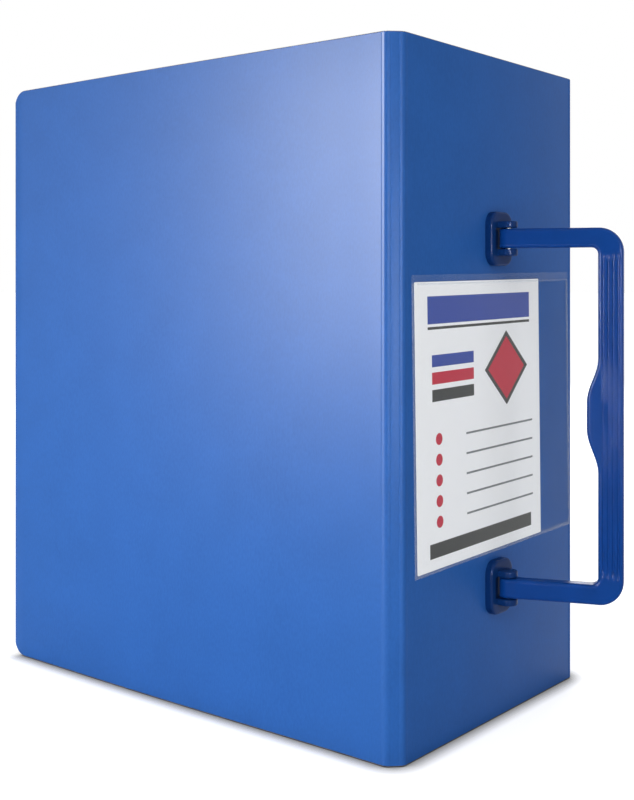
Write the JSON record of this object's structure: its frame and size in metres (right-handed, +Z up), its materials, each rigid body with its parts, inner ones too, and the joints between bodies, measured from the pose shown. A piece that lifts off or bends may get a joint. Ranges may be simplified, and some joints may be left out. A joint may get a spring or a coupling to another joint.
{
  "type": "archive binder",
  "caption": "Thick upright two-post binder with creased board case, spine label pocket, swinging carrying handle and locking post fittings.",
  "frame": {"origin": "centre of the footprint, on the surface the binder stands on", "axes": "+X out of the spine, towards the handle; -Y out of the front cover; +Z up along the spine"},
  "size_m": [0.3108, 0.16, 0.307],
  "materials": {
    "laminated_board": "satin laminated film over board",
    "moulding": "semi-gloss moulded",
    "lever_plastic": "satin moulded",
    "steel": "bright nickel plated steel",
    "film": "clear soft film",
    "card": "matte printed card"
  },
  "bodies": {
    "spine": {"spine_panel": "laminated_board", "label_pocket": "film", "label_card": "card", "upper_bracket": "moulding", "lower_bracket": "moulding", "upper_backing_plate": "steel", "lower_backing_plate": "steel", "upper_handle_pin": "steel", "lower_handle_pin": "steel", "upper_post_tube": "steel", "lower_post_tube": "steel", "upper_post_front_stud": "steel", "upper_post_back_stud": "steel", "lower_post_front_stud": "steel", "lower_post_back_stud": "steel"},
    "handle": {"handle": "moulding"},
    "front_hinge_strip": {"front_hinge_strip": "laminated_board"},
    "front_cover": {"front_cover": "laminated_board", "front_base_plate": "steel", "front_bridge": "steel", "front_lever_rivet": "steel", "front_lower_guide_rivet": "steel", "front_upper_guide_rivet": "steel", "front_mounting_rivet_1": "steel", "front_mounting_rivet_2": "steel", "front_mounting_rivet_3": "steel", "front_mounting_rivet_4": "steel"},
    "front_lock_slide": {"front_lock_slide": "steel"},
    "front_lever": {"front_lever": "lever_plastic"},
    "back_hinge_strip": {"back_hinge_strip": "laminated_board"},
    "back_cover": {"back_cover": "laminated_board", "back_base_plate": "steel", "back_bridge": "steel", "back_lever_rivet": "steel", "back_lower_guide_rivet": "steel", "back_upper_guide_rivet": "steel", "back_mounting_rivet_1": "steel", "back_mounting_rivet_2": "steel", "back_mounting_rivet_3": "steel", "back_mounting_rivet_4": "steel"},
    "back_lock_slide": {"back_lock_slide": "steel"},
    "back_lever": {"back_lever": "lever_plastic"}
  },
  "joints": [
    {"name": "handle_swing", "type": "hinge", "parent": "spine", "child": "handle", "pos_m": [0.10613, 0, 0.142], "axis": [0, 0, 1], "range_deg": [-96, 52]},
    {"name": "front_spine_crease", "type": "hinge", "parent": "spine", "child": "front_hinge_strip", "pos_m": [0.09963, -0.0743, 0.1535], "axis": [0, 0, 1], "range_deg": [0, 90]},
    {"name": "front_cover_crease", "type": "hinge", "parent": "front_hinge_strip", "child": "front_cover", "pos_m": [0.09393, -0.08, 0.1535], "axis": [0, 0, 1], "range_deg": [0, 90]},
    {"name": "front_lever_turn", "type": "hinge", "parent": "front_cover", "child": "front_lever", "pos_m": [0.07363, -0.0765, 0.2255], "axis": [0, -1, 0], "range_deg": [-90, 0]},
    {"name": "front_slide_travel", "type": "slide", "parent": "front_cover", "child": "front_lock_slide", "axis": [0, 0, -1], "range_m": [-0.008, 0]},
    {"name": "back_spine_crease", "type": "hinge", "parent": "spine", "child": "back_hinge_strip", "pos_m": [0.09963, 0.0743, 0.1535], "axis": [0, 0, -1], "range_deg": [0, 90]},
    {"name": "back_cover_crease", "type": "hinge", "parent": "back_hinge_strip", "child": "back_cover", "pos_m": [0.09393, 0.08, 0.1535], "axis": [0, 0, -1], "range_deg": [0, 90]},
    {"name": "back_lever_turn", "type": "hinge", "parent": "back_cover", "child": "back_lever", "pos_m": [0.07363, 0.0765, 0.2255], "axis": [0, -1, 0], "range_deg": [-90, 0]},
    {"name": "back_slide_travel", "type": "slide", "parent": "back_cover", "child": "back_lock_slide", "axis": [0, 0, -1], "range_m": [-0.008, 0]}
  ],
  "couplings": [
    {"joint": "front_slide_travel", "follows": "front_lever_turn", "m_per_rad": 0.00509},
    {"joint": "back_slide_travel", "follows": "back_lever_turn", "m_per_rad": 0.00509}
  ]
}
